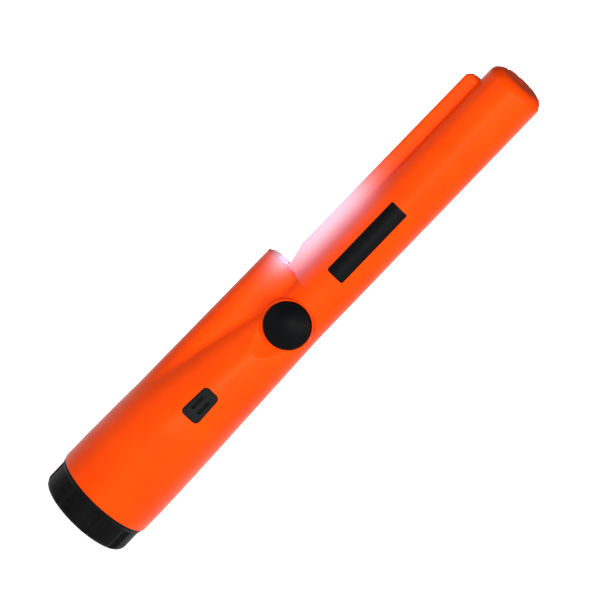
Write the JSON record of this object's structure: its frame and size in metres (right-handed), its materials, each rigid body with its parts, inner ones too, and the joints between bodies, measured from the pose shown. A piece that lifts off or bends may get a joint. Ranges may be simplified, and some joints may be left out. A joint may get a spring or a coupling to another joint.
{
  "type": "pinpointer probe",
  "caption": "Hand-held pinpointer probe: tapered casing with a slim sensing nose, scraping fin, lamp shoulder, domed push button, speaker insert and a screw cap over its battery.",
  "frame": {"origin": "centre of the screw cap's flat end face, on which the probe stands", "axes": "+Z along the handle to the sensing tip; the button and speaker face -Y; the lamp shoulder and fin are on -X"},
  "size_m": [0.0406, 0.0406, 0.235],
  "materials": {
    "casing_plastic": "fine moulded satin",
    "cap_plastic": "fine moulded matte",
    "button_rubber": "matte",
    "seal_rubber": "matte",
    "pad_foam": "matte",
    "insert_rubber": "matte",
    "membrane_film": "matte",
    "battery_jacket": "satin",
    "nickel_plate": "satin",
    "contact_brass": "satin",
    "carrier_plastic": "matte",
    "board_laminate": "satin",
    "chip_epoxy": "matte",
    "buzzer_plastic": "matte",
    "can_aluminium": "satin",
    "motor_steel": "satin",
    "weight_metal": "satin",
    "lamp_epoxy": "clear gloss",
    "wire_insulation": "satin",
    "former_plastic": "matte",
    "ferrite": "matte",
    "winding_copper": "gloss enamel"
  },
  "bodies": {
    "cap": {"battery_cap": "cap_plastic", "cap_pad": "pad_foam", "cap_seal": "seal_rubber"},
    "battery": {"battery_block": "battery_jacket", "battery_terminals": "nickel_plate"},
    "housing": {"body_shell": "casing_plastic", "button_seal": "seal_rubber", "switch_body": "buzzer_plastic", "speaker_insert": "insert_rubber", "speaker_membrane": "membrane_film", "buzzer_gasket": "pad_foam", "buzzer": "buzzer_plastic", "lamp": "lamp_epoxy", "lamp_wires": "nickel_plate", "contact_carrier": "carrier_plastic", "battery_contacts": "contact_brass", "carrier_screws": "nickel_plate", "main_board": "board_laminate", "board_chips": "chip_epoxy", "board_capacitors": "can_aluminium", "battery_wires": "wire_insulation", "vibration_motor": "motor_steel", "motor_saddle": "buzzer_plastic", "motor_wires": "wire_insulation", "coil_former": "former_plastic", "ferrite_rod": "ferrite", "sending_coil": "winding_copper", "sensing_coil": "winding_copper", "coil_wires": "winding_copper", "tip_cushion": "pad_foam"},
    "button": {"power_button": "button_rubber", "button_clip": "motor_steel"},
    "plunger": {"switch_plunger": "former_plastic"},
    "rotor": {"motor_shaft": "motor_steel", "motor_weight": "weight_metal"}
  },
  "joints": [
    {"name": "cap_unscrew", "type": "hinge", "parent": "cap", "child": "battery", "pos_m": [0, 0, 0], "axis": [0, 0, 1], "range_deg": [0, 720]},
    {"name": "housing_lift", "type": "slide", "parent": "battery", "child": "housing", "axis": [0, 0, 1], "range_m": [0, 0.01]},
    {"name": "button_press", "type": "slide", "parent": "housing", "child": "button", "axis": [0, 1, 0], "range_m": [0, 0.0008], "stiffness_N_per_m": 500, "springref_m": -0.002},
    {"name": "switch_press", "type": "slide", "parent": "housing", "child": "plunger", "axis": [0, 1, 0], "range_m": [0, 0.0008]},
    {"name": "motor_spin", "type": "hinge", "parent": "housing", "child": "rotor", "pos_m": [0.006, 0.00515, 0.0882], "axis": [0, 0, 1], "continuous": true}
  ],
  "couplings": [
    {"joint": "housing_lift", "follows": "cap_unscrew", "m_per_rad": 0.00079577},
    {"joint": "switch_press", "follows": "button_press", "ratio": 1}
  ]
}
